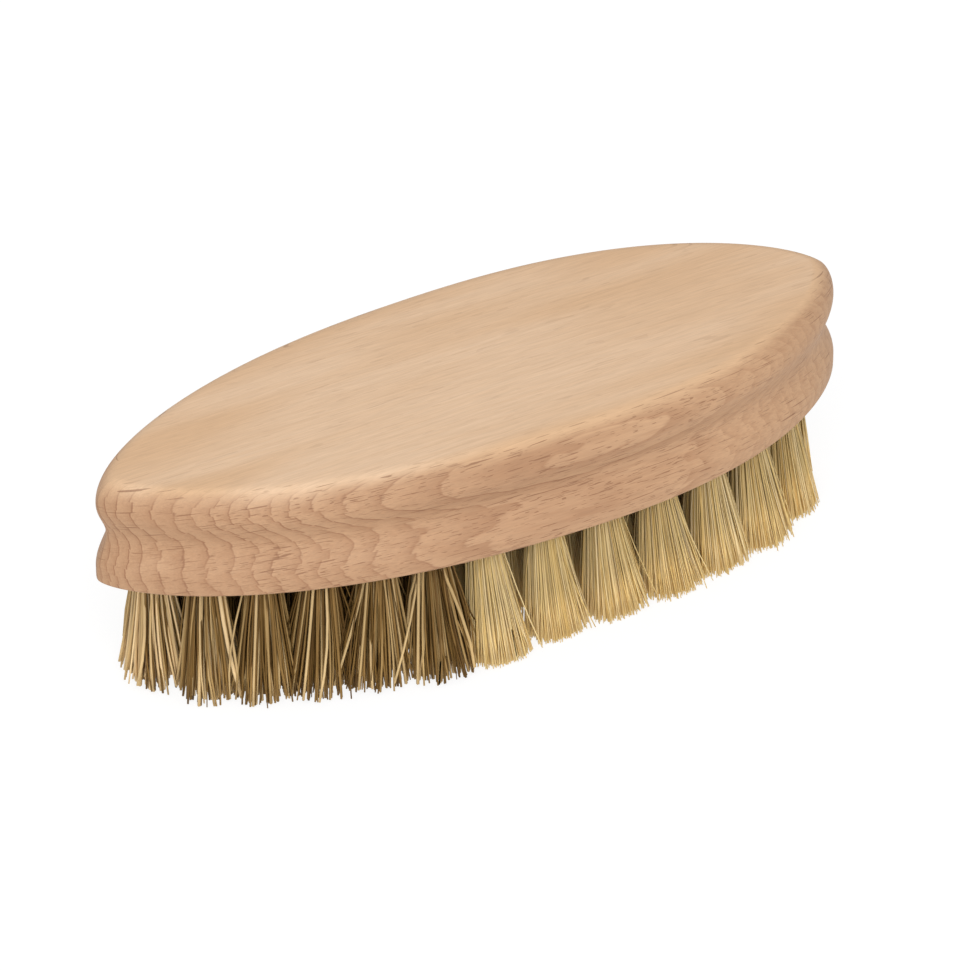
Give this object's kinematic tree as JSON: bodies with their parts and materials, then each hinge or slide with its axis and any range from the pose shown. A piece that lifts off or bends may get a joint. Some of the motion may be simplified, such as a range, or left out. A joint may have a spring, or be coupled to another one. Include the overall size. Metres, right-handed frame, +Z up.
{
  "type": "vegetable brush",
  "caption": "Hand brush with a pointed oval wooden block, a finger groove all round its edge, and tufts of stiff plant fibre at one end and soft fibre at the other.",
  "frame": {"origin": "centre of the footprint, on the plane of the trimmed bristle tips that the brush stands on", "axes": "+X along the block and its grain, to the fuller end with the soft fibre; +Z up through the block, away from the bristles"},
  "size_m": [0.135, 0.0524, 0.0395],
  "materials": {
    "beech": "fine sanded beech, bare, with fine pores and ray flecks",
    "soft_fibre": "dry, fine, pale plant fibre",
    "stiff_fibre": "dry, coarse plant fibre, straw and brown stalks mixed",
    "anchor_steel": "flat rolled steel wire"
  },
  "bodies": {
    "root": {"block": "beech", "tuft_anchors": "anchor_steel", "outer_tuft_01": "soft_fibre", "outer_tuft_02": "soft_fibre", "outer_tuft_03": "soft_fibre", "outer_tuft_04": "soft_fibre", "outer_tuft_05": "soft_fibre", "outer_tuft_06": "soft_fibre", "outer_tuft_07": "soft_fibre", "outer_tuft_08": "soft_fibre", "outer_tuft_09": "stiff_fibre", "outer_tuft_10": "stiff_fibre", "outer_tuft_11": "stiff_fibre", "outer_tuft_12": "stiff_fibre", "outer_tuft_13": "stiff_fibre", "outer_tuft_14": "stiff_fibre", "outer_tuft_15": "stiff_fibre", "outer_tuft_16": "stiff_fibre", "outer_tuft_17": "stiff_fibre", "outer_tuft_18": "stiff_fibre", "outer_tuft_19": "stiff_fibre", "outer_tuft_20": "soft_fibre", "outer_tuft_21": "soft_fibre", "outer_tuft_22": "soft_fibre", "outer_tuft_23": "soft_fibre", "outer_tuft_24": "soft_fibre", "outer_tuft_25": "soft_fibre", "outer_tuft_26": "soft_fibre", "inner_tuft_01": "soft_fibre", "inner_tuft_02": "soft_fibre", "inner_tuft_03": "soft_fibre", "inner_tuft_04": "soft_fibre", "inner_tuft_05": "soft_fibre", "inner_tuft_06": "soft_fibre", "inner_tuft_07": "soft_fibre", "inner_tuft_08": "stiff_fibre", "inner_tuft_09": "stiff_fibre", "inner_tuft_10": "stiff_fibre", "inner_tuft_11": "stiff_fibre", "inner_tuft_12": "stiff_fibre", "inner_tuft_13": "stiff_fibre", "inner_tuft_14": "stiff_fibre", "inner_tuft_15": "soft_fibre", "inner_tuft_16": "soft_fibre", "inner_tuft_17": "soft_fibre", "inner_tuft_18": "soft_fibre", "inner_tuft_19": "soft_fibre", "inner_tuft_20": "soft_fibre", "middle_tuft_01": "soft_fibre", "middle_tuft_02": "soft_fibre", "middle_tuft_03": "soft_fibre", "middle_tuft_04": "soft_fibre", "middle_tuft_05": "stiff_fibre"}
  },
  "joints": []
}
